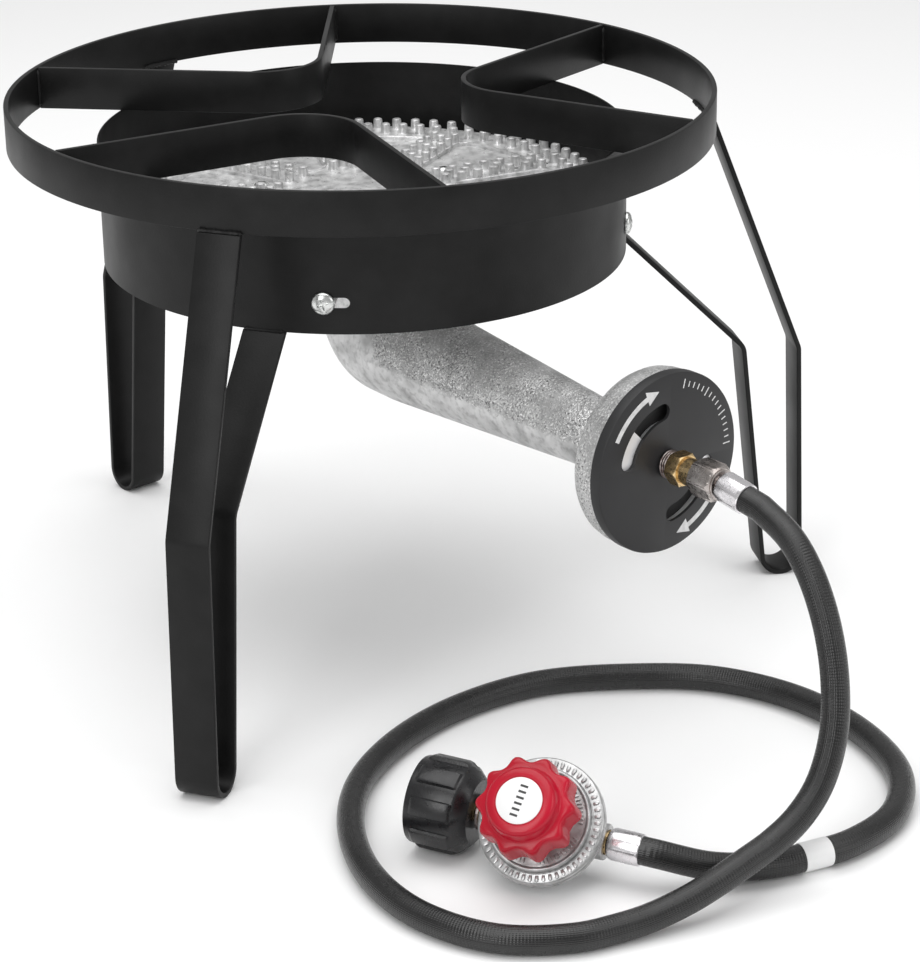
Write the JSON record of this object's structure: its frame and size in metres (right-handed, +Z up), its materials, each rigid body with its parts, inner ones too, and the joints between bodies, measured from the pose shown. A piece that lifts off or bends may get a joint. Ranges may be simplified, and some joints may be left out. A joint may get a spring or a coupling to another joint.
{
  "type": "propane burner stand",
  "caption": "Round flat-bar burner stand on hairpin legs with a cast gas burner, wind guard, air shutter, hose and adjustable red-knob regulator.",
  "frame": {"origin": "on the floor under the middle of the stand's own box, hose and regulator left out; the pot ring's axis is 8.85 mm towards +Y", "axes": "+Z up; -Y the way the venturi and air shutter point; X across the front"},
  "size_m": [0.4824, 0.6901, 0.33],
  "materials": {
    "powder_coat": "satin black powder coat",
    "zinc_screw": "bright zinc plate",
    "cast_aluminium": "rough sand-cast, silver",
    "cast_head": "die-cast, bright matt silver",
    "shutter_black": "smooth black paint, white marks",
    "brass": "turned brass",
    "nickel": "nickel plate",
    "crimped_aluminium": "bright crimped sleeve",
    "spring_steel": "spring wire",
    "hose_rubber": "satin black with a fine spiral",
    "seal_rubber": "matt black",
    "die_cast_zinc": "bright die-cast",
    "knob_red": "glossy red moulding",
    "nut_plastic": "black moulding",
    "label_white": "white label"
  },
  "bodies": {
    "root": {"pot_ring": "powder_coat", "pot_support_back": "powder_coat", "pot_support_left": "powder_coat", "pot_support_right": "powder_coat", "leg_back": "powder_coat", "leg_left": "powder_coat", "leg_right": "powder_coat", "wind_guard": "powder_coat", "guard_screw_1": "zinc_screw", "guard_screw_2": "zinc_screw", "guard_screw_3": "zinc_screw", "guard_screw_4": "zinc_screw", "burner_casting": "cast_aluminium", "burner_head": "cast_head", "head_screw_1": "zinc_screw", "head_screw_2": "zinc_screw", "head_screw_3": "zinc_screw", "orifice_fitting": "brass", "orifice_jet": "brass", "shutter_spring": "spring_steel", "flare_nut": "nickel", "hose_stem_burner": "brass", "hose_ferrule_burner": "crimped_aluminium", "gas_hose": "hose_rubber", "hose_label_sleeve": "label_white", "hose_ferrule_regulator": "crimped_aluminium", "outlet_nipple": "brass", "regulator_body": "die_cast_zinc", "regulator_bonnet": "die_cast_zinc", "regulator_diaphragm": "seal_rubber", "regulating_spring": "spring_steel", "valve_return_spring": "spring_steel", "inlet_nipple": "brass", "nipple_o_ring": "seal_rubber", "nut_retaining_ring": "spring_steel"},
    "air_shutter": {"air_shutter": "shutter_black"},
    "spring_seat": {"spring_seat": "brass"},
    "control_knob": {"control_knob": "knob_red", "knob_label": "label_white", "adjusting_screw": "brass"},
    "valve_stack": {"diaphragm_plate": "zinc_screw", "valve_poppet": "brass"},
    "tank_nut": {"tank_nut": "nut_plastic"}
  },
  "joints": [
    {"name": "shutter_turn", "type": "hinge", "parent": "root", "child": "air_shutter", "pos_m": [0, -0.2455, 0.1718], "axis": [0, -1, 0], "continuous": true},
    {"name": "seat_slide", "type": "slide", "parent": "root", "child": "spring_seat", "axis": [-0.6578, -0.3441, 0.67], "range_m": [-0.0031, 0.0031], "deforming": ["regulating_spring"]},
    {"name": "knob_turn", "type": "hinge", "parent": "spring_seat", "child": "control_knob", "pos_m": [-0.16511, -0.31932, 0.0499], "axis": [-0.6578, -0.3441, 0.67], "range_deg": [-720, 720]},
    {"name": "valve_slide", "type": "slide", "parent": "root", "child": "valve_stack", "axis": [-0.6578, -0.3441, 0.67], "range_m": [-0.0008, 0], "stiffness_N_per_m": 500, "springref_m": 0.001, "deforming": ["valve_return_spring", "regulator_diaphragm"]},
    {"name": "tank_nut_turn", "type": "hinge", "parent": "root", "child": "tank_nut", "pos_m": [-0.1648, -0.25152, 0.02532], "axis": [-0.4334, 0.9005, 0.037], "continuous": true}
  ],
  "couplings": [
    {"joint": "seat_slide", "follows": "knob_turn", "m_per_rad": 0.00023873}
  ]
}
